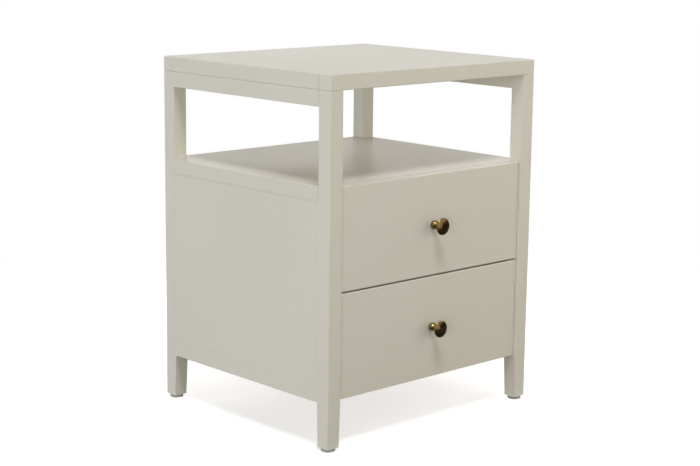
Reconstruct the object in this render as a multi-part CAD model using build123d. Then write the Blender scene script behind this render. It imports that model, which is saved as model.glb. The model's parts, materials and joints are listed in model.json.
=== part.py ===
from build123d import *
import os

# A nightstand with an open shelf and two drawers. Millimetres, +Z up, front towards -Y.
# The origin is on the floor, under the middle of the whole object with its knobs.

# Overall case
WIDTH = 508.0
DEPTH = 457.0
HEIGHT = 648.0

# Legs and glides
LEG = 29.0
LEG_FOOT = 26.5
LEG_CORNER_ROUND = 2.0
GLIDE_DIAMETER = 25.0
GLIDE_HEIGHT = 6.0

# Levels of the case bottom and of the shelf surface
CASE_BOTTOM = 84.5
SHELF_SURFACE = 459.0

# Top and shelf
TOP_THICKNESS = 27.0
TOP_PANEL_THICKNESS = 18.0
TOP_CORNER_ROUND = 2.0
TOP_EASE = 1.2
SHELF_PANEL_THICKNESS = 18.0

# Rails and panels
APRON_HEIGHT = 28.0
APRON_THICKNESS = 20.0
SHELF_RAIL_HEIGHT = 26.0
BOTTOM_RAIL_HEIGHT = 31.0
BOTTOM_RAIL_THICKNESS = 20.0
SIDE_PANEL_THICKNESS = 18.0
BACK_PANEL_THICKNESS = 6.0
BACK_PANEL_INSET = 8.0
BACK_PANEL_GROOVE = 6.0
STRETCHER_WIDTH = 50.0
STRETCHER_THICKNESS = 20.0
EASE = 0.6

# Tenons of the rails and side panels, set in from their outward faces
TENON_LENGTH = 12.0
TENON_THICKNESS = 8.0
TENON_INSET = 5.0
TENON_SHOULDER = 8.0
JOINT_CLEARANCE = 0.1

# Drawer fronts, set back a little between the front legs
FRONT_RECESS = 5.0
FRONT_THICKNESS = 20.0
FRONT_ROUND = 1.4
FRONT_SIDE_GAP = 0.8
FRONT_SHELF_STEP = 0.3
FRONT_SHELF_GAP = 0.6
FRONT_BOTTOM_LIFT = 4.0
FRONTS_GAP = 3.0
FRONTS_GAP_LEVEL = 275.4

# Drawer boxes
BOX_HEIGHT = 120.0
BOX_LENGTH = 400.0
BOX_LIFT = 29.0
BOX_BOARD = 12.0
BOX_BOTTOM_THICKNESS = 6.0
BOX_BOTTOM_LIFT = 10.0
BOX_BOTTOM_GROOVE = 6.0
BOX_TOP_EASE = 1.5
TAIL_COUNT = 4
TAIL_WIDTH = 20.0
TAIL_SLOPE = 1 / 6

# Telescopic slides: nested channels of folded steel sheet, with ball cages in the races
SLIDE_HEIGHT = 45.0
SLIDE_THICKNESS = 12.7
SLIDE_SETBACK = 2.0
SLIDE_SHEET = 1.2
SLIDE_RACE = 3.6
SLIDE_CASE_DEPTH = 9.2
SLIDE_CLEARANCE = 0.3
CAGE_LENGTH = 150.0
BATTEN_HEIGHT = 50.0

# Knobs, turned about an axis square to the drawer front: radii, and distances from the front
KNOB_PROJECTION = 28.0
KNOB_BASE_RADIUS = 8.3
KNOB_BASE_EDGE = 3.0
KNOB_CROWN_RADIUS = 6.8
KNOB_CROWN = 7.2
KNOB_NECK_RADIUS = 4.4
KNOB_NECK_START = 9.0
KNOB_NECK_END = 12.5
KNOB_FLARE_RADIUS = 9.5
KNOB_DISC_RADIUS = 15.5
KNOB_DISC_BACK = 21.6
KNOB_RIM_FRONT = 24.4
KNOB_FACE_RADIUS = 14.0
KNOB_FACE_EDGE = 25.8
KNOB_CENTRE_RADIUS = 6.0

# Machine screw of each knob
SCREW_RADIUS = 2.0
SCREW_HEAD_RADIUS = 4.0
SCREW_HEAD_HEIGHT = 2.2
SCREW_CLEARANCE = 0.1
SCREW_REACH = 10.0

# Planes and levels worked out from the sizes above
LEFT = -WIDTH / 2
RIGHT = WIDTH / 2
BACK = (DEPTH + KNOB_PROJECTION - FRONT_RECESS) / 2
FRONT = BACK - DEPTH
INNER_X = RIGHT - LEG
FRONT_LEGS_BACK = FRONT + LEG
BACK_LEGS_FRONT = BACK - LEG
TOP_UNDERSIDE = HEIGHT - TOP_THICKNESS
SHELF_RAIL_UNDERSIDE = SHELF_SURFACE - SHELF_RAIL_HEIGHT
BOTTOM_RAIL_TOP = CASE_BOTTOM + BOTTOM_RAIL_HEIGHT
DRAWER_FACE = FRONT + FRONT_RECESS
DRAWER_FRONT_BACK = DRAWER_FACE + FRONT_THICKNESS
BOX_OUTER_X = INNER_X - SLIDE_THICKNESS
BOX_INNER_X = BOX_OUTER_X - BOX_BOARD
BOX_FRONT_INSIDE = DRAWER_FRONT_BACK + BOX_BOARD
BOX_BACK = DRAWER_FRONT_BACK + BOX_LENGTH
BOX_BACK_INSIDE = BOX_BACK - BOX_BOARD
SLIDE_FRONT = DRAWER_FRONT_BACK + SLIDE_SETBACK
SLIDE_LENGTH = BOX_LENGTH

SIDES = {"left": -1, "right": 1}
MIDDLE_PLANE = Plane.YZ
DEPTH_PLANE = Plane.XZ.offset(-(FRONT + BACK) / 2)

# Bottom and top edge of each drawer front
DRAWERS = {
    "upper": (FRONTS_GAP_LEVEL + FRONTS_GAP / 2, SHELF_SURFACE - FRONT_SHELF_STEP),
    "lower": (CASE_BOTTOM + FRONT_BOTTOM_LIFT, FRONTS_GAP_LEVEL - FRONTS_GAP / 2),
}


def write(shape, node):
    """One piece, or one group of like pieces, in its own file."""
    export_step(shape, f"parts/{node}.step")


def board(x, y, z):
    """A box between two limits on each axis."""
    size = [abs(limits[1] - limits[0]) for limits in (x, y, z)]
    centre = [sum(limits) / 2 for limits in (x, y, z)]
    return Pos(*centre) * Box(*size)


def socket(x, y, z):
    """The space for a board between these limits, with the joint clearance all round."""
    grown = [(min(limits) - JOINT_CLEARANCE, max(limits) + JOINT_CLEARANCE) for limits in (x, y, z)]
    return board(*grown)


def eased_outside(part, axis, side):
    """The board with the edges of its outward face eased: side is -1 or 1 along the axis."""
    outward_face = part.faces().sort_by(axis)[-1 if side > 0 else 0]
    return chamfer(outward_face.edges(), EASE)


def eased_uprights(part, axis, at):
    """The board with those of its upright edges eased that stand at one place along the axis."""
    uprights = part.edges().filter_by(Axis.Z).filter_by_position(axis, at - EASE / 2, at + EASE / 2)
    return chamfer(uprights, EASE)


def tenon_thickness(outward_face, inward):
    """Limits of a tenon's thickness, set in from the outward face of its board."""
    near = outward_face + inward * TENON_INSET
    return (near, near + inward * TENON_THICKNESS)


def tenon_height(z):
    """Limits of a tenon's height, inside its board's own."""
    return (z[0] + TENON_SHOULDER, z[1] - TENON_SHOULDER)


os.makedirs("parts", exist_ok=True)

# Sockets that are cut in the legs
mortises = []


def side_board(side, thickness, z):
    """A rail or panel tenoned between a front and a back leg, flush with their outer faces."""
    outer = side * RIGHT
    part = board((outer, outer - side * thickness), (FRONT_LEGS_BACK, BACK_LEGS_FRONT), z)
    tenons = (
        tenon_thickness(outer, -side),
        (FRONT_LEGS_BACK - TENON_LENGTH, BACK_LEGS_FRONT + TENON_LENGTH),
        tenon_height(z),
    )
    mortises.append(socket(*tenons))
    return eased_outside(part, Axis.X, side) + board(*tenons)


def back_board(thickness, z):
    """A rail tenoned between the back legs, flush with their back faces."""
    part = board((-INNER_X, INNER_X), (BACK - thickness, BACK), z)
    tenons = (
        (-INNER_X - TENON_LENGTH, INNER_X + TENON_LENGTH),
        tenon_thickness(BACK, -1),
        tenon_height(z),
    )
    mortises.append(socket(*tenons))
    return eased_outside(part, Axis.Y, 1) + board(*tenons)


# Aprons, shelf rails, side panels and bottom rails
apron_z = (TOP_UNDERSIDE - APRON_HEIGHT, TOP_UNDERSIDE)
shelf_rail_z = (SHELF_RAIL_UNDERSIDE, SHELF_SURFACE)
bottom_rail_z = (CASE_BOTTOM, BOTTOM_RAIL_TOP)
side_panel_z = (BOTTOM_RAIL_TOP, SHELF_RAIL_UNDERSIDE)

for side_name, side in SIDES.items():
    write(side_board(side, APRON_THICKNESS, apron_z), f"{side_name}_apron")
    write(side_board(side, LEG, shelf_rail_z), f"{side_name}_shelf_rail")
    write(side_board(side, SIDE_PANEL_THICKNESS, side_panel_z), f"{side_name}_side_panel")
    write(side_board(side, BOTTOM_RAIL_THICKNESS, bottom_rail_z), f"{side_name}_bottom_rail")

back_apron = back_board(APRON_THICKNESS, apron_z)
back_shelf_rail = back_board(LEG, shelf_rail_z)
back_bottom_rail = back_board(BOTTOM_RAIL_THICKNESS, bottom_rail_z)

# Back panel, held in grooves of the back legs and rails
back_panel = (
    (-INNER_X - BACK_PANEL_GROOVE, INNER_X + BACK_PANEL_GROOVE),
    (BACK - BACK_PANEL_INSET - BACK_PANEL_THICKNESS, BACK - BACK_PANEL_INSET),
    (BOTTOM_RAIL_TOP - BACK_PANEL_GROOVE, SHELF_RAIL_UNDERSIDE + BACK_PANEL_GROOVE),
)
back_groove = socket(*back_panel)
mortises.append(back_groove)
write(board(*back_panel), "back_panel")
write(back_apron, "back_apron")
write(back_shelf_rail - back_groove, "back_shelf_rail")
write(back_bottom_rail - back_groove, "back_bottom_rail")

# Front stretcher, flat between the bottom rails and against the front legs
stretcher_end = RIGHT - BOTTOM_RAIL_THICKNESS
front_stretcher = board(
    (-stretcher_end, stretcher_end),
    (FRONT_LEGS_BACK, FRONT_LEGS_BACK + STRETCHER_WIDTH),
    (BOTTOM_RAIL_TOP - STRETCHER_THICKNESS, BOTTOM_RAIL_TOP),
)
write(front_stretcher, "front_stretcher")


def leg_section(size):
    """A leg's square section, outer corner at the origin: that corner round, the others eased."""
    square = Pos(size / 2, size / 2) * Rectangle(size, size)
    corners = square.vertices().sort_by_distance((0, 0, 0))
    square = fillet(corners[0], LEG_CORNER_ROUND)
    other_corners = square.vertices().sort_by_distance((0, 0, 0))[-3:]
    return chamfer(other_corners, EASE)


# Legs: straight above the case bottom, with their two inner faces tapering below it
leg_straight = extrude(Pos(0, 0, CASE_BOTTOM) * leg_section(LEG), TOP_UNDERSIDE - CASE_BOTTOM)
leg_taper = loft(
    [Pos(0, 0, GLIDE_HEIGHT) * leg_section(LEG_FOOT), Pos(0, 0, CASE_BOTTOM) * leg_section(LEG)],
    ruled=True,
)
leg = leg_straight + leg_taper
leg = chamfer(leg.faces().sort_by(Axis.Z)[-1].edges(), EASE)
front_left_leg = Pos(LEFT, FRONT) * leg
back_left_leg = mirror(front_left_leg, DEPTH_PLANE)
legs = {
    "front_left_leg": front_left_leg,
    "front_right_leg": mirror(front_left_leg, MIDDLE_PLANE),
    "back_left_leg": back_left_leg,
    "back_right_leg": mirror(back_left_leg, MIDDLE_PLANE),
}
for node, blank in legs.items():
    write(blank - mortises, node)

# Glides, one under the middle of each foot
glide = extrude(Circle(GLIDE_DIAMETER / 2), GLIDE_HEIGHT)
front_left_glide = Pos(LEFT + LEG_FOOT / 2, FRONT + LEG_FOOT / 2) * glide
left_glides = [front_left_glide, mirror(front_left_glide, DEPTH_PLANE)]
right_glides = [mirror(each, MIDDLE_PLANE) for each in left_glides]
write(Compound(children=left_glides + right_glides), "leg_glides")

# Top: a slab with rounded corners and eased edges, parted into rails as wide as the legs and a panel
top_z = (TOP_UNDERSIDE, HEIGHT)
top_slab = board((LEFT, RIGHT), (FRONT, BACK), top_z)
top_slab = fillet(top_slab.edges().filter_by(Axis.Z), TOP_CORNER_ROUND)
top_slab = chamfer(top_slab.faces().filter_by(Axis.Z).edges(), TOP_EASE)
top_front_rail = top_slab & board((LEFT, RIGHT), (FRONT, FRONT_LEGS_BACK), top_z)
top_back_rail = top_slab & board((LEFT, RIGHT), (BACK_LEGS_FRONT, BACK), top_z)
write(eased_uprights(top_front_rail, Axis.Y, FRONT_LEGS_BACK), "top_front_rail")
write(eased_uprights(top_back_rail, Axis.Y, BACK_LEGS_FRONT), "top_back_rail")
for side_name, side in SIDES.items():
    outer = side * RIGHT
    rail = top_slab & board((outer, outer - side * LEG), (FRONT_LEGS_BACK, BACK_LEGS_FRONT), top_z)
    write(eased_uprights(rail, Axis.X, outer), f"top_{side_name}_rail")
top_panel = board(
    (-INNER_X, INNER_X),
    (FRONT_LEGS_BACK, BACK_LEGS_FRONT),
    (HEIGHT - TOP_PANEL_THICKNESS, HEIGHT),
)
write(top_panel, "top_panel")

# Shelf panel, from just behind the upper drawer front to the back shelf rail
shelf_panel = board(
    (-INNER_X, INNER_X),
    (DRAWER_FRONT_BACK + FRONT_SHELF_GAP, BACK_LEGS_FRONT),
    (SHELF_SURFACE - SHELF_PANEL_THICKNESS, SHELF_SURFACE),
)
write(shelf_panel, "shelf_panel")


def channel(web, mouth, half_height, lip):
    """A slide member's section, U from the case wall and V up: web, two flanges and lips at the mouth."""
    upper = [(mouth, half_height)]
    lower = [(mouth, -half_height)]
    if lip:
        upper.insert(0, (mouth, half_height - lip))
        lower.append((mouth, lip - half_height))
    outline = Polyline(*upper, (web, half_height), (web, -half_height), *lower)
    inward = Side.LEFT if mouth > web else Side.RIGHT
    return make_face(offset(outline, SLIDE_SHEET, kind=Kind.INTERSECTION, side=inward, closed=True))


def strip(u, v):
    """A plain section between limits in U and V."""
    return Pos(sum(u) / 2, sum(v) / 2) * Rectangle(u[1] - u[0], v[1] - v[0])


def slide_run(section, level, side, start=SLIDE_FRONT, length=SLIDE_LENGTH):
    """A section of the slide run back along the case, with its middle at this level."""
    wall = Plane((INNER_X, start, level), x_dir=(-1, 0, 0), z_dir=(0, 1, 0))
    run = extrude(wall * section, length)
    return run if side > 0 else mirror(run, MIDDLE_PLANE)


# Sections of the slides, nested from the case wall to the drawer side
case_half = SLIDE_HEIGHT / 2
middle_half = case_half - SLIDE_SHEET - SLIDE_RACE
drawer_half = middle_half - SLIDE_SHEET - SLIDE_RACE
middle_web = SLIDE_SHEET + SLIDE_CLEARANCE
middle_mouth = SLIDE_THICKNESS - SLIDE_SHEET - SLIDE_CLEARANCE
drawer_mouth = middle_web + SLIDE_SHEET + SLIDE_CLEARANCE
case_lip = case_half - middle_half - SLIDE_CLEARANCE
middle_lip = middle_half - drawer_half - SLIDE_CLEARANCE
case_member = channel(0, SLIDE_CASE_DEPTH, case_half, case_lip)
middle_member = channel(middle_web, middle_mouth, middle_half, middle_lip)
drawer_member = channel(SLIDE_THICKNESS, drawer_mouth, drawer_half, 0)

# Ball cages carried by the middle member: outer ones at its back end, inner ones at its front end
outer_cage_u = (middle_web, SLIDE_CASE_DEPTH - SLIDE_SHEET - SLIDE_CLEARANCE)
outer_cage_v = (middle_half, case_half - SLIDE_SHEET - SLIDE_CLEARANCE)
inner_cage_u = (drawer_mouth, middle_mouth - SLIDE_SHEET - SLIDE_CLEARANCE)
inner_cage_v = (drawer_half + SLIDE_CLEARANCE, middle_half - SLIDE_SHEET)
cages = [
    (outer_cage_u, outer_cage_v, SLIDE_FRONT + SLIDE_LENGTH - CAGE_LENGTH),
    (inner_cage_u, inner_cage_v, SLIDE_FRONT),
]


def mirrored_limits(limits):
    """The same stretch on the other side of zero."""
    return (-limits[1], -limits[0])


def slides(drawer, level):
    """A drawer's two slides, with the battens that carry their case members."""
    cage_runs = []
    for side_name, side in SIDES.items():
        name = f"{drawer}_{side_name}"
        batten = board(
            (side * INNER_X, side * (RIGHT - SIDE_PANEL_THICKNESS)),
            (FRONT_LEGS_BACK, BACK_LEGS_FRONT),
            (level - BATTEN_HEIGHT / 2, level + BATTEN_HEIGHT / 2),
        )
        write(batten, f"{name}_batten")
        write(slide_run(case_member, level, side), f"{name}_slide_case_member")
        write(slide_run(middle_member, level, side), f"{name}_slide_middle_member")
        write(slide_run(drawer_member, level, side), f"{name}_slide_drawer_member")
        for u, v, start in cages:
            for v_limits in (v, mirrored_limits(v)):
                cage_runs.append(slide_run(strip(u, v_limits), level, side, start, CAGE_LENGTH))
    write(Compound(children=cage_runs), f"{drawer}_slide_ball_cages")


def rod(z, y_from, y_to, radius):
    """A round bar forwards along the middle plane, at one level."""
    return extrude(Plane((0, y_from, z), z_dir=(0, -1, 0)) * Circle(radius), y_from - y_to)


def knob_screw(z):
    """A screw put in from inside the box, its head on the box front and its end in the knob."""
    head = rod(z, BOX_FRONT_INSIDE + SCREW_HEAD_HEIGHT, BOX_FRONT_INSIDE, SCREW_HEAD_RADIUS)
    return head + rod(z, BOX_FRONT_INSIDE, DRAWER_FACE - SCREW_REACH, SCREW_RADIUS)


def knob_screw_hole(z):
    """The way for the screw through the box front and the drawer front into the knob."""
    end = DRAWER_FACE - SCREW_REACH - SCREW_CLEARANCE
    return rod(z, BOX_FRONT_INSIDE, end, SCREW_RADIUS + SCREW_CLEARANCE)


def tails(side, shoulder, end, z_low):
    """Dovetails on one end of a box side, widening from their shoulder to the end."""
    pitch = BOX_HEIGHT / TAIL_COUNT
    end_half = TAIL_WIDTH / 2
    root_half = end_half - BOX_BOARD * TAIL_SLOPE
    inner = min(side * BOX_INNER_X, side * BOX_OUTER_X)
    prisms = []
    for index in range(TAIL_COUNT):
        z = z_low + pitch * (index + 1 / 2)
        corners = [
            (shoulder, z - root_half),
            (end, z - end_half),
            (end, z + end_half),
            (shoulder, z + root_half),
        ]
        outline = make_face(Polyline(*corners, close=True))
        prisms.append(extrude(Plane.YZ.offset(inner) * outline, BOX_BOARD, dir=(1, 0, 0)))
    return prisms


def knob(z):
    """A turned knob: crowned base, waist flaring to a disc, and a face that rises to its middle."""
    profile = Polyline(
        (0, 0),
        (KNOB_BASE_RADIUS, 0),
        (KNOB_BASE_RADIUS, KNOB_BASE_EDGE),
        (KNOB_CROWN_RADIUS, KNOB_CROWN),
        (KNOB_NECK_RADIUS, KNOB_NECK_START),
        (KNOB_NECK_RADIUS, KNOB_NECK_END),
        (KNOB_FLARE_RADIUS, KNOB_DISC_BACK),
        (KNOB_DISC_RADIUS, KNOB_DISC_BACK),
        (KNOB_DISC_RADIUS, KNOB_RIM_FRONT),
        (KNOB_FACE_RADIUS, KNOB_FACE_EDGE),
        (KNOB_CENTRE_RADIUS, KNOB_PROJECTION),
        (0, KNOB_PROJECTION),
        close=True,
    )
    centre = (0, DRAWER_FACE, z)
    seat = Plane(centre, x_dir=(1, 0, 0), z_dir=(0, 0, -1))
    return revolve(seat * make_face(profile), Axis(centre, (0, -1, 0)))


def drawer(name, bottom, top):
    """One drawer: applied front with its knob, and a dovetailed box with a grooved-in bottom."""
    middle = (bottom + top) / 2
    box_z = (bottom + BOX_LIFT, bottom + BOX_LIFT + BOX_HEIGHT)
    front_x = INNER_X - FRONT_SIDE_GAP
    front = board((-front_x, front_x), (DRAWER_FACE, DRAWER_FRONT_BACK), (bottom, top))
    front = fillet(front.faces().sort_by(Axis.Y)[0].edges(), FRONT_ROUND)
    box_front = board((-BOX_OUTER_X, BOX_OUTER_X), (DRAWER_FRONT_BACK, BOX_FRONT_INSIDE), box_z)
    box_back = board((-BOX_OUTER_X, BOX_OUTER_X), (BOX_BACK_INSIDE, BOX_BACK), box_z)
    floor = (
        (-BOX_INNER_X - BOX_BOTTOM_GROOVE, BOX_INNER_X + BOX_BOTTOM_GROOVE),
        (BOX_FRONT_INSIDE - BOX_BOTTOM_GROOVE, BOX_BACK_INSIDE + BOX_BOTTOM_GROOVE),
        (box_z[0] + BOX_BOTTOM_LIFT, box_z[0] + BOX_BOTTOM_LIFT + BOX_BOTTOM_THICKNESS),
    )
    groove = socket(*floor)
    write(board(*floor), f"{name}_box_bottom")

    for side_name, side in SIDES.items():
        box_side = board((side * BOX_INNER_X, side * BOX_OUTER_X), (BOX_FRONT_INSIDE, BOX_BACK_INSIDE), box_z)
        upper_edges = box_side.edges().group_by(Axis.Z)[-1].filter_by(Axis.Y)
        box_side = chamfer(upper_edges, BOX_TOP_EASE)
        front_tails = tails(side, BOX_FRONT_INSIDE, DRAWER_FRONT_BACK, box_z[0])
        back_tails = tails(side, BOX_BACK_INSIDE, BOX_BACK, box_z[0])
        box_front -= front_tails
        box_back -= back_tails
        write(box_side + front_tails + back_tails - groove, f"{name}_box_{side_name}_side")

    hole = knob_screw_hole(middle)
    write(front - hole, f"{name}_drawer_front")
    write(box_front - groove - hole, f"{name}_box_front")
    write(box_back - groove, f"{name}_box_back")
    write(knob(middle) - hole, f"{name}_knob")
    write(knob_screw(middle), f"{name}_knob_screw")
    slides(name, sum(box_z) / 2)


for drawer_name, edges in DRAWERS.items():
    drawer(drawer_name, *edges)
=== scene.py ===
import json
from math import cos, pi, radians, sin

import bmesh
import bpy
from mathutils import Matrix, Vector


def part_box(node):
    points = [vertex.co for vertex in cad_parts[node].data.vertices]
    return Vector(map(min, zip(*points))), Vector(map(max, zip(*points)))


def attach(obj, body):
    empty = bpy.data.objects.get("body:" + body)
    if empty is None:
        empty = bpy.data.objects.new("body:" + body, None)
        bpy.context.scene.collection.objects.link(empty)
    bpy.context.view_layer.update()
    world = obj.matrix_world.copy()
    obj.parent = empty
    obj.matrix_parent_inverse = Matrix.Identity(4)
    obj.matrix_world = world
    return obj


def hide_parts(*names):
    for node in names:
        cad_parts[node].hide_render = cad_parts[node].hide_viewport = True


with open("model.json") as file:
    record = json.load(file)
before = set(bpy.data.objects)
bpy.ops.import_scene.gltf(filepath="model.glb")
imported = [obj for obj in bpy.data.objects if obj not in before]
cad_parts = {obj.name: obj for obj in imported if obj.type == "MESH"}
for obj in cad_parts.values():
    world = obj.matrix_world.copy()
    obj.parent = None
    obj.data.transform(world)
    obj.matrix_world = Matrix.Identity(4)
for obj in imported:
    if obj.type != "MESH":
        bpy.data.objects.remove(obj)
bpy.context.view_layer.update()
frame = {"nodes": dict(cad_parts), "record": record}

FORWARD = Vector((0.0, -1.0, 0.0))
RIGHT = Vector((1.0, 0.0, 0.0))
SIDES = {"left": -1.0, "right": 1.0}
WHITE = (1.0, 1.0, 1.0)

# Camera: its lens, with a focal length in pixels of the image, where it stands and the way it looks
IMAGE_WIDTH = 700
SENSOR_WIDTH = 36.0
FOCAL_PIXELS = 1630.7
CAMERA_PLACE = (-2.0488, -2.1894, 0.9038)
CAMERA_YAW = radians(43.036)
CAMERA_PITCH = radians(11.002)
CAMERA_ROLL = radians(0.658)

# Lamps: direction from the point that they light, distance, width, power and colour. One shows in gloss
LAMPS = {
    "key": ((-0.30, -0.43, 1.0), 5.0, 1.5, 116.0, (0.964, 0.973, 1.0)),
    "left": ((-1.0, 0.5, 0.05), 3.0, 1.2, 24.0, (0.77, 0.83, 1.0)),
    "front_left": ((-1.0, -0.78, 0.12), 3.0, 1.8, 28.6, (0.985, 0.99, 0.92)),
    "front_right": ((1.0, -1.0, 0.3), 1.3, 1.8, 6.4, (1.0, 0.935, 0.86)),
    "right": ((1.0, 0.2, 0.12), 3.0, 2.0, 46.0, WHITE),
    "back": ((0.3, 1.0, 0.4), 3.2, 2.0, 42.0, WHITE),
}
LAMP_AIM = (0.0, 0.0, 0.35)
MIRRORED_LAMP = "key"

# Room: its light fades from low down to overhead, as a direction rises from one slope to another
ROOM_COLOUR = (1.0, 0.99, 0.86)
ROOM_LOW = 0.60
ROOM_OVERHEAD = 0.0
ROOM_RISE = (0.05, 0.65)

# Floor: pale round the object, melting into white between two distances from its middle
FLOOR_HALF = 12.0
FLOOR_SEEN = (0.80, 0.79, 0.77)
FLOOR_GLOW = 0.60
FLOOR_BOUNCE = (0.26, 0.255, 0.25)
FLOOR_MELT = (0.7, 1.5)

# Dark cards round the front: how far each reaches, and its foot and height at each bend
CARDS = {
    "left_card": (1.5, [(-0.50, 0.05, 0.05), (-0.30, -0.25, 0.50), (-0.12, -0.25, 0.50)]),
    "front_card": (1.3, [(-0.12, -0.25, 0.05), (0.10, -0.25, 0.05)]),
    "right_card": (
        1.5,
        [(0.10, -0.25, 0.60), (0.30, -0.25, 0.70), (0.60, -0.10, 0.80), (0.62, 0.12, 0.80)],
    ),
}
CARD_COLOUR = (0.05, 0.047, 0.042)
CARD_LIFT = 0.001

# Sockets of a Mix node for colours: its factor, its two colours and its result
MIX_FACTOR = 0
MIX_FIRST = 6
MIX_SECOND = 7
MIX_RESULT = 2


def give(tree, node, inputs):
    """Sets a node's inputs, by name or index, to values, plain colours or other nodes' outputs."""
    for name, value in inputs.items():
        socket = node.inputs[name]
        if isinstance(value, bpy.types.NodeSocket):
            tree.links.new(value, socket)
        elif socket.type == "RGBA":
            socket.default_value = (*value, 1.0)
        else:
            socket.default_value = value


def add(tree, kind, inputs, **settings):
    """A new node, with its settings and its inputs."""
    node = tree.nodes.new(kind)
    for name, value in settings.items():
        setattr(node, name, value)
    give(tree, node, inputs)
    return node


def reckon(tree, operation, *values):
    """The result of a Math node."""
    node = add(tree, "ShaderNodeMath", dict(enumerate(values)), operation=operation)
    return node.outputs["Value"]


def span(tree, value, low, high, to_low=0.0, to_high=1.0):
    """The value from low to high, as a value from to_low to to_high."""
    inputs = {"Value": value, "From Min": low, "From Max": high, "To Min": to_low, "To Max": to_high}
    return add(tree, "ShaderNodeMapRange", inputs).outputs["Result"]


def object_place(tree):
    """The place of a point on the object, in metres."""
    return add(tree, "ShaderNodeTexCoord", {}).outputs["Object"]


def coordinate(tree, place, axis):
    """One coordinate of a place."""
    return add(tree, "ShaderNodeSeparateXYZ", {"Vector": place}).outputs[axis]


def stretched(tree, place, scale):
    """A place with scaled axes, so that noise is drawn out along the axis of the smallest scale."""
    return add(tree, "ShaderNodeMapping", {"Vector": place, "Scale": scale}).outputs["Vector"]


def noise(tree, place, scale, detail=2.0, roughness=0.5, distortion=0.0):
    """Soft noise of a scale per metre."""
    inputs = {
        "Vector": place,
        "Scale": scale,
        "Detail": detail,
        "Roughness": roughness,
        "Distortion": distortion,
    }
    return add(tree, "ShaderNodeTexNoise", inputs).outputs["Fac"]


def mixed(tree, amount, first, second):
    """A colour between two others."""
    inputs = {MIX_FACTOR: amount, MIX_FIRST: first, MIX_SECOND: second}
    return add(tree, "ShaderNodeMix", inputs, data_type="RGBA").outputs[MIX_RESULT]


def bump(tree, height, depth, over=None):
    """A surface's normal with a height pressed into it, over another normal where one is given."""
    node = add(tree, "ShaderNodeBump", {"Height": height, "Distance": depth, "Strength": 1.0})
    if over is not None:
        give(tree, node, {"Normal": over})
    return node.outputs["Normal"]


def new_material(name):
    """A material with its node tree and its main shader."""
    material = bpy.data.materials.new(name)
    material.use_nodes = True
    tree = material.node_tree
    return material, tree, tree.nodes["Principled BSDF"]


# Noise: where most of its values lie, and the middle of them
NOISE_SPREAD = (0.3, 0.7)
NOISE_CORE = (0.35, 0.65)

# Grain: noise drawn out along one axis of a board
GRAIN_DRAW = 0.035
GRAIN_STRETCH = {
    "x": (GRAIN_DRAW, 1.0, 1.0),
    "y": (1.0, GRAIN_DRAW, 1.0),
    "z": (1.0, 1.0, GRAIN_DRAW),
}

# Edges: samples of a mask, and how far a rounded normal agrees with its face, from face to edge
MASK_SAMPLES = 6
EDGE_AGREES = (0.995, 0.80)

# Crevices: how near a neighbour counts, how open a point is, from face to crevice, and the strength of
# the shade painted there
CREVICE_REACH = 0.0007
CREVICE_OPEN = (0.62, 0.15)
CREVICE_STRENGTH = 0.3

# Seams: hairline cracks of full shade over their width, fading over half of it on each side
SEAM_WIDTH = 0.0008
SEAM_STRENGTH = 0.75


def edge_mask(tree, radius):
    """1 along the edges of a solid, 0 on its faces."""
    rounded = add(tree, "ShaderNodeBevel", {"Radius": radius}, samples=MASK_SAMPLES).outputs["Normal"]
    flat = add(tree, "ShaderNodeNewGeometry", {}).outputs["Normal"]
    agree = add(tree, "ShaderNodeVectorMath", {0: rounded, 1: flat}, operation="DOT_PRODUCT")
    return span(tree, agree.outputs["Value"], *EDGE_AGREES)


def crevice_shade(tree):
    """Painted shade in narrow joints and inner corners, by how closed in a point is, 0 on open faces.
    """
    inputs = {"Distance": CREVICE_REACH}
    occlusion = add(tree, "ShaderNodeAmbientOcclusion", inputs, samples=MASK_SAMPLES)
    return span(tree, occlusion.outputs["AO"], *CREVICE_OPEN, 0.0, CREVICE_STRENGTH)


def seam_mask(tree, place, axis, planes):
    """The shade of the cracks where a board meets its neighbours, on planes across one axis."""
    along = coordinate(tree, place, axis)
    cracks = []
    for plane in planes:
        away = reckon(tree, "ABSOLUTE", reckon(tree, "SUBTRACT", along, plane))
        cracks.append(span(tree, away, SEAM_WIDTH / 2, SEAM_WIDTH, SEAM_STRENGTH, 0.0))
    mask = cracks[0]
    for crack in cracks[1:]:
        mask = reckon(tree, "MAXIMUM", mask, crack)
    return mask


# Satin paint on wood: faint grain, sprayed texture, cloudy tone, rubbed edges, dark cracks at seams,
# and painted shade in narrow joints and inner corners
PAINT = (0.715, 0.682, 0.595)
PAINT_DEEP = (0.695, 0.660, 0.570)
PAINT_RUBBED = (0.755, 0.728, 0.650)
# The dark colour of cracks at seams, and also of the painted shade in narrow joints and inner corners
PAINT_CRACK_AND_SHADE = (0.45, 0.415, 0.34)
PAINT_ROUGHNESS = (0.34, 0.44)
PAINT_GLOSS = 0.28
PAINT_GRAIN = {"scale": 260.0, "detail": 5.0, "roughness": 0.6}
PAINT_GRAIN_DEPTH = 0.00006
SPRAY = {"scale": 850.0}
SPRAY_DEPTH = 0.00002
PAINT_TONE = {"scale": 3.0, "detail": 3.0}
PAINT_RUB_WIDTH = 0.0014
RUB_PATCHES = {"scale": 24.0, "detail": 3.0}
RUB_SPREAD = (0.42, 0.62)


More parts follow.
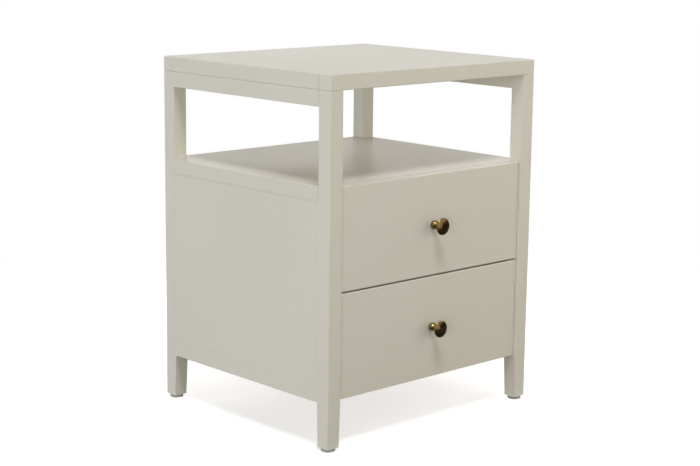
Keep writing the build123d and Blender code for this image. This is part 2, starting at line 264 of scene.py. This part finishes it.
def paint(name, grain, seams=()):
    """Paint over grain along one axis, with cracks on the planes of any seams."""
    material, tree, shader = new_material(name)
    place = object_place(tree)
    grain_height = noise(tree, stretched(tree, place, GRAIN_STRETCH[grain]), **PAINT_GRAIN)
    spray_height = noise(tree, place, **SPRAY)
    tone = noise(tree, place, **PAINT_TONE)
    patches = span(tree, noise(tree, place, **RUB_PATCHES), *RUB_SPREAD)
    rubbed = reckon(tree, "MULTIPLY", edge_mask(tree, PAINT_RUB_WIDTH), patches)
    colour = mixed(tree, span(tree, tone, *NOISE_CORE), PAINT, PAINT_DEEP)
    colour = mixed(tree, rubbed, colour, PAINT_RUBBED)
    # Painted shade in narrow joints and inner corners
    colour = mixed(tree, crevice_shade(tree), colour, PAINT_CRACK_AND_SHADE)
    for axis, planes in seams:
        colour = mixed(tree, seam_mask(tree, place, axis, planes), colour, PAINT_CRACK_AND_SHADE)
    grained = bump(tree, grain_height, PAINT_GRAIN_DEPTH)
    give(tree, shader, {
        "Base Color": colour,
        "Roughness": span(tree, tone, *NOISE_SPREAD, *PAINT_ROUGHNESS),
        "Specular IOR Level": PAINT_GLOSS,
        "Normal": bump(tree, spray_height, SPRAY_DEPTH, over=grained),
    })
    return material


# Pale wood under clear lacquer: growth rings, pores and tone along a board, and rubbed edges
SOLID_WOOD = {
    "light": (0.62, 0.44, 0.26),
    "dark": (0.47, 0.30, 0.155),
    "worn": (0.68, 0.51, 0.33),
    "ring_scale": 55.0,
}
VENEER = {
    "light": (0.70, 0.545, 0.355),
    "dark": (0.60, 0.435, 0.26),
    "worn": (0.74, 0.60, 0.42),
    "ring_scale": 30.0,
}
WOOD_ROUGHNESS = (0.38, 0.52)
RINGS = {"detail": 4.0, "roughness": 0.55, "distortion": 1.2}
RING_SPREAD = (0.35, 0.68)
RING_DEPTH = 0.00005
PORES = {"scale": 700.0, "detail": 3.0, "roughness": 0.6}
PORE_SPREAD = (0.56, 0.75)
PORE_STRENGTH = 0.45
PORE_DEPTH = 0.00003
WOOD_TONE = {"scale": 5.0}
WOOD_TONE_STRENGTH = 0.25
WOOD_RUB_WIDTH = 0.0010


def wood(name, grain, light, dark, worn, ring_scale):
    """Wood with its grain along one axis."""
    material, tree, shader = new_material(name)
    place = object_place(tree)
    along = stretched(tree, place, GRAIN_STRETCH[grain])
    rings = noise(tree, along, ring_scale, **RINGS)
    pores = noise(tree, along, **PORES)
    tone = noise(tree, place, **WOOD_TONE)
    colour = mixed(tree, span(tree, rings, *RING_SPREAD), light, dark)
    colour = mixed(tree, span(tree, pores, *PORE_SPREAD, 0.0, PORE_STRENGTH), colour, dark)
    colour = mixed(tree, span(tree, tone, *NOISE_SPREAD, 0.0, WOOD_TONE_STRENGTH), colour, light)
    ringed = bump(tree, rings, RING_DEPTH)
    give(tree, shader, {
        "Base Color": mixed(tree, edge_mask(tree, WOOD_RUB_WIDTH), colour, worn),
        "Roughness": span(tree, rings, *NOISE_SPREAD, *WOOD_ROUGHNESS),
        "Normal": bump(tree, pores, PORE_DEPTH, over=ringed),
    })
    return material


# Zinc plated sheet: rolling lines and faint dull streaks along the slides, and brighter edges
STEEL = (0.60, 0.61, 0.62)
STEEL_DULL = (0.54, 0.545, 0.55)
STEEL_BRIGHT = (0.74, 0.74, 0.735)
STEEL_METALLIC = 0.7
STEEL_ROUGHNESS = (0.40, 0.50)
STEEL_EDGE_WIDTH = 0.0006
ROLLING = {"scale": 1500.0, "detail": 3.0}
ROLLING_STRETCH = (1.0, 0.01, 1.0)
ROLLING_DEPTH = 0.00001
STREAKS = {"scale": 160.0, "detail": 4.0}
STREAK_STRETCH = (1.0, 0.12, 1.0)
STREAK_SPREAD = (0.4, 0.65)
STREAK_SHEEN_SPREAD = (0.35, 0.7)


def steel(name):
    """Zinc plated sheet."""
    material, tree, shader = new_material(name)
    place = object_place(tree)
    rolling = noise(tree, stretched(tree, place, ROLLING_STRETCH), **ROLLING)
    streaks = noise(tree, stretched(tree, place, STREAK_STRETCH), **STREAKS)
    colour = mixed(tree, span(tree, streaks, *STREAK_SPREAD), STEEL, STEEL_DULL)
    give(tree, shader, {
        "Base Color": mixed(tree, edge_mask(tree, STEEL_EDGE_WIDTH), colour, STEEL_BRIGHT),
        "Metallic": STEEL_METALLIC,
        "Roughness": span(tree, streaks, *STREAK_SHEEN_SPREAD, *STEEL_ROUGHNESS),
        "Normal": bump(tree, rolling, ROLLING_DEPTH),
    })
    return material


# Lacquered antique brass: gold that turns to bronze between two depths behind a knob's front
BRASS = (0.22, 0.158, 0.042)
BRASS_SHADED = (0.15, 0.102, 0.024)
BRONZE = (0.25, 0.160, 0.042)
BRONZE_SHADED = (0.19, 0.112, 0.028)
BRONZE_STARTS = 0.0085
BRONZE_WHOLE = 0.0055
BRASS_ROUGHNESS = (0.21, 0.29)
BRASS_CLOUD = {"scale": 90.0, "detail": 3.0}
BRASS_GRIT = {"scale": 900.0, "detail": 3.0}
BRASS_GRIT_DEPTH = 0.000006
LACQUER_WEIGHT = 0.6
LACQUER_ROUGHNESS = 0.1


def brass(name, knob_front):
    """Brass with gold on the base and neck of a knob, and bronze on its disc."""
    material, tree, shader = new_material(name)
    place = object_place(tree)
    depth = coordinate(tree, place, "Y")
    on_disc = span(tree, depth, knob_front + BRONZE_STARTS, knob_front + BRONZE_WHOLE)
    cloud = span(tree, noise(tree, place, **BRASS_CLOUD), *NOISE_CORE)
    grit = noise(tree, place, **BRASS_GRIT)
    gold = mixed(tree, cloud, BRASS, BRASS_SHADED)
    bronze = mixed(tree, cloud, BRONZE, BRONZE_SHADED)
    give(tree, shader, {
        "Base Color": mixed(tree, on_disc, gold, bronze),
        "Metallic": 1.0,
        "Roughness": span(tree, cloud, 0.0, 1.0, *BRASS_ROUGHNESS),
        "Coat Weight": LACQUER_WEIGHT,
        "Coat Roughness": LACQUER_ROUGHNESS,
        "Normal": bump(tree, grit, BRASS_GRIT_DEPTH),
    })
    return material


# Moulded grey plastic: a fine spark texture and scuffs
PLASTIC = (0.37, 0.365, 0.35)
PLASTIC_SCUFFED = (0.46, 0.45, 0.43)
PLASTIC_ROUGHNESS = (0.45, 0.62)
SPARK = {"scale": 1400.0}
SPARK_DEPTH = 0.00002
SCUFFS = {"scale": 220.0, "detail": 4.0}
SCUFF_STRETCH = (1.0, 0.2, 1.0)
SCUFF_SPREAD = (0.52, 0.70)
SCUFF_SHEEN_SPREAD = (0.4, 0.7)


def plastic(name):
    """Moulded grey plastic."""
    material, tree, shader = new_material(name)
    place = object_place(tree)
    spark = noise(tree, place, **SPARK)
    scuffs = noise(tree, stretched(tree, place, SCUFF_STRETCH), **SCUFFS)
    give(tree, shader, {
        "Base Color": mixed(tree, span(tree, scuffs, *SCUFF_SPREAD), PLASTIC, PLASTIC_SCUFFED),
        "Roughness": span(tree, scuffs, *SCUFF_SHEEN_SPREAD, *PLASTIC_ROUGHNESS),
        "Normal": bump(tree, spark, SPARK_DEPTH),
    })
    return material


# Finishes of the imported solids, by material slot and by the way that a board's grain runs
painted = {axis: paint(f"painted_wood_{axis}", axis) for axis in GRAIN_STRETCH}
solid_wood = {axis: wood(f"drawer_wood_{axis}", axis, **SOLID_WOOD) for axis in GRAIN_STRETCH}
zinc = steel("zinc_steel")
antique_brass = brass("antique_brass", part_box("upper_knob")[0][1])
finishes = {
    "plywood": wood("plywood", "x", **VENEER),
    "zinc_steel": zinc,
    "antique_brass": antique_brass,
    "glide_plastic": plastic("glide_plastic"),
}

# Rails with cracks where they meet the legs, and under the shelf rails
JOINTED = [f"{side}_{rail}" for side in SIDES for rail in ("apron", "shelf_rail")]
JOINTED += [f"top_{side}_rail" for side in SIDES]
leg_faces = (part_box("front_left_leg")[1][1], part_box("back_left_leg")[0][1])
rail_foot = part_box("left_shelf_rail")[0][2]
jointed = paint("painted_wood_jointed", "y", [("Y", leg_faces), ("Z", [rail_foot])])

# Soft corners of sharp edges: their width, the faces across them, and how sharp an edge has to be
EDGE_WIDTH = 0.0002
EDGE_SEGMENTS = 2
EDGE_ANGLE = radians(60)


def long_axis(node):
    """The axis along which a node is longest."""
    low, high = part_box(node)
    lengths = [high[i] - low[i] for i in range(3)]
    return "xyz"[lengths.index(max(lengths))]


def finish_for(node, slot):
    """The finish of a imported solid."""
    if node in JOINTED:
        return jointed
    if slot == "painted_wood":
        return painted[long_axis(node)]
    if slot == "drawer_wood":
        return solid_wood[long_axis(node)]
    return finishes[slot]


def soften(piece):
    """Gives a piece small rounded edges where its solid has sharp ones."""
    edge = piece.modifiers.new("soft_edges", "BEVEL")
    edge.width = EDGE_WIDTH
    edge.segments = EDGE_SEGMENTS
    edge.limit_method = "ANGLE"
    edge.angle_limit = EDGE_ANGLE
    piece.modifiers.new("even_shading", "WEIGHTED_NORMAL").keep_sharp = True


slots = {part["node"]: part["material_slot"] for part in frame["record"]["subparts"]}
for node, piece in frame["nodes"].items():
    piece.data.materials.clear()
    piece.data.materials.append(finish_for(node, slots[node]))
    if slots[node] != "antique_brass":
        soften(piece)


def seat_at(place, outward, across):
    """The frame of a seat at a place: across and upwards on its face, and outward from it."""
    turn = Matrix((across, outward.cross(across), outward)).transposed()
    return Matrix.Translation(place) @ turn.to_4x4()


def circle(radius, sides):
    """Points round a circle."""
    turns = [2 * pi * index / sides for index in range(sides)]
    return [(radius * cos(turn), radius * sin(turn)) for turn in turns]


def ring(form, seat, points, height):
    """Flat points as corners of a form, at a height over a seat."""
    return [form.verts.new(seat @ Vector((across, up, height))) for across, up in points]


def band(form, lower, upper, smooth=True):
    """Faces from one ring of corners to another, or to one corner."""
    for index, start in enumerate(lower):
        after = (index + 1) % len(lower)
        corners = [start, lower[after]]
        corners += upper if len(upper) == 1 else [upper[after], upper[index]]
        form.faces.new(corners).smooth = smooth


def new_piece(name, form, material):
    """An object made of a finished form, with its faces outward."""
    bmesh.ops.recalc_face_normals(form, faces=form.faces)
    mesh = bpy.data.meshes.new(name)
    form.to_mesh(mesh)
    form.free()
    mesh.materials.append(material)
    piece = bpy.data.objects.new(name, mesh)
    bpy.context.scene.collection.objects.link(piece)
    return piece


# Knob outline: radius, and distance from the drawer front
KNOB_OUTLINE = [
    (0.0076, 0.0),
    (0.0083, 0.0026),
    (0.0079, 0.0052),
    (0.0064, 0.0079),
    (0.0047, 0.0098),
    (0.0044, 0.0118),
    (0.0052, 0.0152),
    (0.0070, 0.0186),
    (0.0098, 0.0209),
    (0.0144, 0.0219),
    (0.0155, 0.0230),
    (0.0151, 0.0244),
    (0.0130, 0.0257),
    (0.0067, 0.0275),
    (0.0, 0.0280),
]
KNOB_STEPS = 6
KNOB_SIDES = 96


def smooth_line(points, steps):
    """A rounded line through points, with steps from each to the next."""
    ends = [Vector(point) for point in (points[0], *points, points[-1])]
    line = []
    for before, start, stop, after in zip(ends, ends[1:], ends[2:], ends[3:]):
        for step in range(steps):
            share = step / steps
            slope = (stop - before) * share
            bend = (2 * before - 5 * start + 4 * stop - after) * share ** 2
            twist = (3 * start - before - 3 * stop + after) * share ** 3
            line.append(start + (slope + bend + twist) / 2)
    line.append(ends[-1])
    return line


def add_knob(drawer):
    """A knob turned along its outline, forwards from the drawer front."""
    low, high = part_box(f"{drawer}_knob")
    middle = ((low[0] + high[0]) / 2, high[1], (low[2] + high[2]) / 2)
    seat = seat_at(middle, FORWARD, RIGHT)
    form = bmesh.new()
    rings = []
    for radius, distance in smooth_line(KNOB_OUTLINE, KNOB_STEPS):
        points = circle(radius, KNOB_SIDES) if radius > 0 else [(0.0, 0.0)]
        rings.append(ring(form, seat, points, distance))
    form.faces.new(rings[0])
    for lower, upper in zip(rings, rings[1:]):
        band(form, lower, upper)
    knob = new_piece(f"{drawer}_turned_knob", form, antique_brass)
    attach(knob, f"{drawer}_drawer")
    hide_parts(f"{drawer}_knob")


# Pan-head screws: radius and height up the head, and the cross recess in its top
HEAD_OUTLINE = [(0.0036, 0.0), (0.0036, 0.0006), (0.0031, 0.0016), (0.0022, 0.0021)]
HEAD_SIDES = 24
CROSS_REACH = 0.0018
CROSS_HALF = 0.0004
CROSS_TAPER = 0.8
CROSS_DEPTH = 0.0012
QUARTER_TURNS = [(1, 0), (0, 1), (-1, 0), (0, -1)]

# Where the screws sit: from the middle of a box front, along a slide from its front end, on its sheet
FRONT_SCREW_X = 0.150
FRONT_SCREW_Z = 0.025
SLIDE_SCREWS_Y = (0.035, 0.130, 0.340)
SLIDE_SHEET = 0.0012


def cross(size):
    """Corners round a cross: each arm's two outer ones, then the inner one after it."""
    arm = [(CROSS_REACH, -CROSS_HALF), (CROSS_REACH, CROSS_HALF), (CROSS_HALF, CROSS_HALF)]
    return [
        (size * (along * cosine - aside * sine), size * (along * sine + aside * cosine))
        for cosine, sine in QUARTER_TURNS
        for along, aside in arm
    ]


def shape_head(form, seat):
    """One pan head on its seat, with two sides of its rim to each corner of its recess."""
    top = HEAD_OUTLINE[-1][1]
    dome = [ring(form, seat, circle(radius, HEAD_SIDES), height) for radius, height in HEAD_OUTLINE]
    mouth = ring(form, seat, cross(1.0), top)
    pit = ring(form, seat, cross(CROSS_TAPER), top - CROSS_DEPTH)
    form.faces.new(dome[0])
    form.faces.new(pit)
    for lower, upper in zip(dome, dome[1:]):
        band(form, lower, upper)
    band(form, mouth, pit, smooth=False)
    for index, corner in enumerate(mouth):
        rim = [dome[-1][(2 * index + step) % HEAD_SIDES] for step in (-1, 0, 1)]
        form.faces.new([rim[0], rim[1], corner])
        form.faces.new([rim[1], rim[2], mouth[(index + 1) % len(mouth)], corner])


def add_screws(name, drawer, places, outward):
    """Screw heads on a drawer, at places on faces that look one way."""
    form = bmesh.new()
    for place in places:
        shape_head(form, seat_at(place, outward, outward.orthogonal().normalized()))
    heads = new_piece(name, form, zinc)
    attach(heads, f"{drawer}_drawer")


def add_front_screws(drawer):
    """Screws through the box front into the drawer front, their heads inside the box."""
    low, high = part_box(f"{drawer}_box_front")
    middle = (low[2] + high[2]) / 2
    places = [
        (x, high[1], middle + z)
        for x in (-FRONT_SCREW_X, FRONT_SCREW_X)
        for z in (-FRONT_SCREW_Z, FRONT_SCREW_Z)
    ]
    add_screws(f"{drawer}_front_screws", drawer, places, -FORWARD)


def add_slide_screws(drawer, side):
    """Screws through a slide's drawer member into the box side, in the open channel."""
    low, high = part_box(f"{drawer}_{side}_slide_drawer_member")
    web_face = low[0] + SLIDE_SHEET if side == "right" else high[0] - SLIDE_SHEET
    middle = (low[2] + high[2]) / 2
    places = [(web_face, low[1] + y, middle) for y in SLIDE_SCREWS_Y]
    add_screws(f"{drawer}_{side}_slide_screws", drawer, places, RIGHT * SIDES[side])


for drawer in ("upper", "lower"):
    add_knob(drawer)
    add_front_screws(drawer)
    for side in SIDES:
        add_slide_screws(drawer, side)


def shown_to_eye(tree):
    """1 for what is seen, directly, mirrored or through glass, and 0 for light that spreads."""
    path = add(tree, "ShaderNodeLightPath", {})
    seen = path.outputs["Is Camera Ray"]
    for name in ("Is Glossy Ray", "Is Transmission Ray"):
        seen = reckon(tree, "MAXIMUM", seen, path.outputs[name])
    return seen


def blended(tree, amount, first, second):
    """A shader between two others."""
    return add(tree, "ShaderNodeMixShader", {0: amount, 1: first.outputs[0], 2: second.outputs[0]})


def make_world():
    """The room's light, with plain white to the eye."""
    world = bpy.data.worlds.new("studio")
    world.use_nodes = True
    tree = world.node_tree
    tree.nodes.clear()
    direction = add(tree, "ShaderNodeTexCoord", {}).outputs["Generated"]
    strength = span(tree, coordinate(tree, direction, "Z"), *ROOM_RISE, ROOM_LOW, ROOM_OVERHEAD)
    room = add(tree, "ShaderNodeBackground", {"Color": ROOM_COLOUR, "Strength": strength})
    white = add(tree, "ShaderNodeBackground", {"Color": WHITE, "Strength": 1.0})
    surface = blended(tree, shown_to_eye(tree), room, white)
    add(tree, "ShaderNodeOutputWorld", {"Surface": surface.outputs[0]})
    bpy.context.scene.world = world


def stage_sheet(name, corners, faces, material):
    """A sheet of the studio, which isn't part of the object."""
    mesh = bpy.data.meshes.new(name)
    mesh.from_pydata(corners, [], faces)
    mesh.materials.append(material)
    sheet = bpy.data.objects.new(name, mesh)
    bpy.context.scene.collection.objects.link(sheet)
    return sheet


def make_floor():
    """A pale floor that shows the object's shadow and melts into the white behind it."""
    material, tree, shader = new_material("floor")
    tree.nodes.remove(shader)
    bounce = add(tree, "ShaderNodeBsdfDiffuse", {"Color": FLOOR_BOUNCE})
    matt = add(tree, "ShaderNodeBsdfDiffuse", {"Color": FLOOR_SEEN})
    glow = add(tree, "ShaderNodeEmission", {"Color": WHITE, "Strength": FLOOR_GLOW})
    near = add(tree, "ShaderNodeAddShader", {0: matt.outputs[0], 1: glow.outputs[0]})
    far = add(tree, "ShaderNodeEmission", {"Color": WHITE, "Strength": 1.0})
    distance = add(tree, "ShaderNodeVectorMath", {0: object_place(tree)}, operation="LENGTH")
    seen = blended(tree, span(tree, distance.outputs["Value"], *FLOOR_MELT), near, far)
    surface = blended(tree, shown_to_eye(tree), bounce, seen)
    give(tree, tree.nodes["Material Output"], {"Surface": surface.outputs[0]})
    signs = [(-1, -1), (1, -1), (1, 1), (-1, 1)]
    corners = [(x * FLOOR_HALF, y * FLOOR_HALF, 0.0) for x, y in signs]
    stage_sheet("floor", corners, [(0, 1, 2, 3)], material)


def make_card(name, reach, bends):
    """A dark card, flat on the floor and then upright, that shows only in what shines."""
    material, tree, shader = new_material(name)
    give(tree, shader, {"Base Color": CARD_COLOUR, "Roughness": 1.0})
    rows = []
    for x, y, height in bends:
        far = Vector((x, y)) + Vector((x, y)).normalized() * reach
        rows.append([(x, y, CARD_LIFT), (*far, CARD_LIFT), (*far, height)])
    corners = [corner for row in rows for corner in row]
    step = len(rows[0])
    starts = [index for index in range(len(corners) - step) if (index + 1) % step]
    faces = [(start, start + 1, start + step + 1, start + step) for start in starts]
    card = stage_sheet(name, corners, faces, material)
    card.visible_camera = False
    card.visible_diffuse = False
    card.visible_shadow = False
    card.visible_transmission = False


def make_lamp(name, direction, distance, width, power, colour):
    """A round soft lamp that points at the object."""
    light = bpy.data.lights.new(name, "AREA")
    light.shape = "DISK"
    light.size = width
    light.energy = power
    light.color = colour
    lamp = bpy.data.objects.new(name, light)
    towards = Vector(direction).normalized()
    lamp.location = Vector(LAMP_AIM) + towards * distance
    lamp.rotation_euler = towards.to_track_quat("Z", "Y").to_euler()
    lamp.visible_camera = False
    lamp.visible_glossy = name == MIRRORED_LAMP
    bpy.context.scene.collection.objects.link(lamp)


def make_camera():
    """The camera, which looks level along +Y before it is turned."""
    lens = bpy.data.cameras.new("camera")
    lens.sensor_width = SENSOR_WIDTH
    lens.lens = FOCAL_PIXELS * SENSOR_WIDTH / IMAGE_WIDTH
    camera = bpy.data.objects.new("camera", lens)
    turn = Matrix.Rotation(-CAMERA_YAW, 4, "Z") @ Matrix.Rotation(pi / 2 - CAMERA_PITCH, 4, "X")
    roll = Matrix.Rotation(CAMERA_ROLL, 4, "Z")
    camera.matrix_world = Matrix.Translation(CAMERA_PLACE) @ turn @ roll
    bpy.context.scene.collection.objects.link(camera)
    bpy.context.scene.camera = camera


make_world()
make_floor()
for card_name, card in CARDS.items():
    make_card(card_name, *card)
for lamp_name, values in LAMPS.items():
    make_lamp(lamp_name, *values)
make_camera()
bpy.context.scene.view_settings.view_transform = "Standard"
